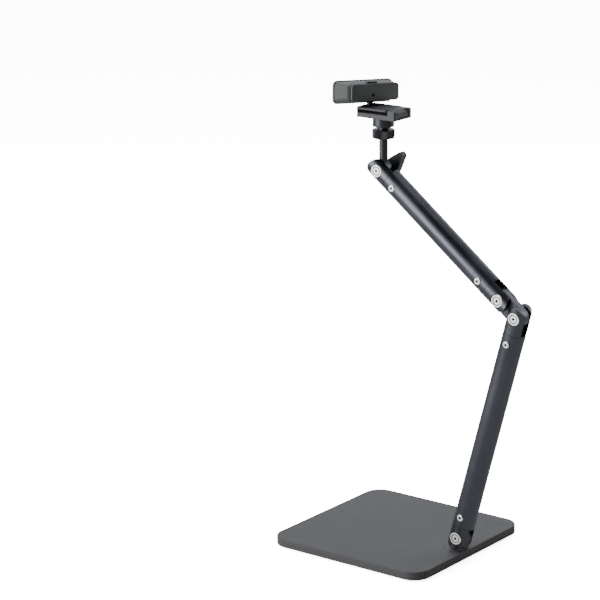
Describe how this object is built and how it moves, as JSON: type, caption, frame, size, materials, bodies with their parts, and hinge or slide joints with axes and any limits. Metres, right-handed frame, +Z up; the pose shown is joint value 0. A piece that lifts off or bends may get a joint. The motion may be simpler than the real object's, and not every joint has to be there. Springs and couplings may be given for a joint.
{
  "type": "webcam on desk stand",
  "caption": "Small bar webcam clipped to the post of a folding tube arm with a lockable elbow, on a square weighted desk plate.",
  "frame": {"origin": "middle of the underside of the rubber pad that rests on the desk", "axes": "+Z up, +Y towards the edge of the plate that carries the arm, lens towards -Y; the arms move in a plane of constant X"},
  "size_m": [0.2, 0.2746, 0.5139],
  "materials": {
    "powder_coat": "matte fine-textured powder coat",
    "pad_rubber": "matte",
    "anodised": "satin black anodised",
    "steel": "polished",
    "nylon": "matte",
    "black_metal": "satin black anodised",
    "clip_plastic": "fine moulded texture",
    "knob_plastic": "fine moulded texture",
    "shell_plastic": "soft-touch matte",
    "bezel_plastic": "matte",
    "lens_silver": "satin",
    "lens_glass": "coated glass",
    "black_plastic": "semi-gloss",
    "board": "solder mask"
  },
  "bodies": {
    "base": {"base_pad": "pad_rubber", "base_plate": "powder_coat", "base_lug": "powder_coat", "lug_screw_front": "steel", "lug_screw_rear": "steel"},
    "lower_arm": {"lower_arm_tube": "anodised", "lower_arm_bottom_fork": "anodised", "lower_arm_top_fork": "anodised", "lower_arm_bottom_screw_right": "steel", "lower_arm_bottom_screw_left": "steel", "lower_arm_top_screw_right": "steel", "lower_arm_top_screw_left": "steel", "base_pivot_bolt": "steel", "base_pivot_nut": "steel", "base_washer_right": "nylon", "base_washer_left": "nylon"},
    "elbow": {"elbow_link": "anodised", "lower_elbow_pivot_bolt": "steel", "lower_elbow_pivot_nut": "steel", "lower_elbow_washer_right": "nylon", "lower_elbow_washer_left": "nylon"},
    "upper_arm": {"upper_arm_tube": "anodised", "upper_arm_bottom_fork": "anodised", "upper_arm_top_fork": "anodised", "upper_arm_bottom_screw_right": "steel", "upper_arm_bottom_screw_left": "steel", "upper_arm_top_screw_right": "steel", "upper_arm_top_screw_left": "steel", "upper_elbow_pivot_bolt": "steel", "upper_elbow_pivot_nut": "steel", "upper_elbow_washer_right": "nylon", "upper_elbow_washer_left": "nylon", "head_pivot_bolt": "steel", "head_washer_right": "nylon", "head_washer_left": "nylon"},
    "knob": {"clamp_knob": "knob_plastic"},
    "head": {"head_post": "black_metal", "head_pivot_bush": "nylon"},
    "locking_nut": {"thumb_nut": "black_metal"},
    "clip": {"clip_collar": "black_metal", "clip_base": "clip_plastic", "clip_hinge_pin": "steel", "clip_leg_pin": "steel", "clip_rubber": "pad_rubber"},
    "leg": {"clip_leg": "clip_plastic"},
    "jaw": {"clip_jaw": "clip_plastic"},
    "neck": {"neck_cup": "black_plastic"},
    "ball": {"neck_ball": "black_plastic"},
    "camera": {"camera_tilt_pin": "steel", "camera_shell": "shell_plastic", "front_bezel": "bezel_plastic", "rear_cover": "shell_plastic", "cable_grommet": "black_plastic", "lens_ring": "lens_silver", "lens_glass": "lens_glass", "lens_barrel": "black_plastic", "circuit_board": "board", "image_sensor": "black_plastic"},
    "button": {"top_button": "black_plastic"}
  },
  "joints": [
    {"name": "base_tilt", "type": "hinge", "parent": "base", "child": "lower_arm", "pos_m": [0.01, 0.0924, 0.0263], "axis": [1, 0, 0], "range_deg": [-60, 75]},
    {"name": "lower_elbow_bend", "type": "hinge", "parent": "lower_arm", "child": "elbow", "pos_m": [0.01, 0.16268, 0.28233], "axis": [-1, 0, 0], "range_deg": [-46, 150]},
    {"name": "upper_elbow_bend", "type": "hinge", "parent": "elbow", "child": "upper_arm", "pos_m": [0.01, 0.1421, 0.2987], "axis": [1, 0, 0], "range_deg": [-99, 100]},
    {"name": "head_tilt", "type": "hinge", "parent": "upper_arm", "child": "head", "pos_m": [0.01, -0.01156, 0.41746], "axis": [1, 0, 0], "range_deg": [-60, 100]},
    {"name": "clamp_knob_turn", "type": "hinge", "parent": "upper_arm", "child": "knob", "pos_m": [0.01, -0.01156, 0.41746], "axis": [-1, 0, 0], "range_deg": [0, 360]},
    {"name": "thumb_nut_turn", "type": "hinge", "parent": "head", "child": "locking_nut", "pos_m": [0.01, -0.00976, 0.45646], "axis": [0, 0, 1], "range_deg": [-360, 0]},
    {"name": "head_turn", "type": "hinge", "parent": "head", "child": "clip", "pos_m": [0.01, -0.00976, 0.46746], "axis": [0, 0, 1], "range_deg": [-180, 180]},
    {"name": "clip_leg_fold", "type": "hinge", "parent": "clip", "child": "leg", "pos_m": [0.01, 0.01474, 0.47706], "axis": [-1, 0, 0], "range_deg": [0, 100]},
    {"name": "clip_open", "type": "hinge", "parent": "clip", "child": "jaw", "pos_m": [0.01, 0.01004, 0.48146], "axis": [-1, 0, 0], "range_deg": [0, 75]},
    {"name": "camera_pan", "type": "hinge", "parent": "jaw", "child": "neck", "pos_m": [0.01, -0.02746, 0.49036], "axis": [0, 0, 1], "range_deg": [-9, 31]},
    {"name": "camera_roll", "type": "hinge", "parent": "neck", "child": "ball", "pos_m": [0.01, -0.02746, 0.49036], "axis": [0.1908, 0.9816, 0], "range_deg": [0, 9]},
    {"name": "camera_tilt", "type": "hinge", "parent": "ball", "child": "camera", "pos_m": [0.01, -0.02746, 0.49036], "axis": [0.9779, -0.1901, 0.0872], "range_deg": [-16, 0.8]},
    {"name": "button_press", "type": "slide", "parent": "camera", "child": "button", "axis": [0.0987, 0.0519, -0.9938], "range_m": [0, 0.0008], "stiffness_N_per_m": 400, "springref_m": -0.0005}
  ]
}
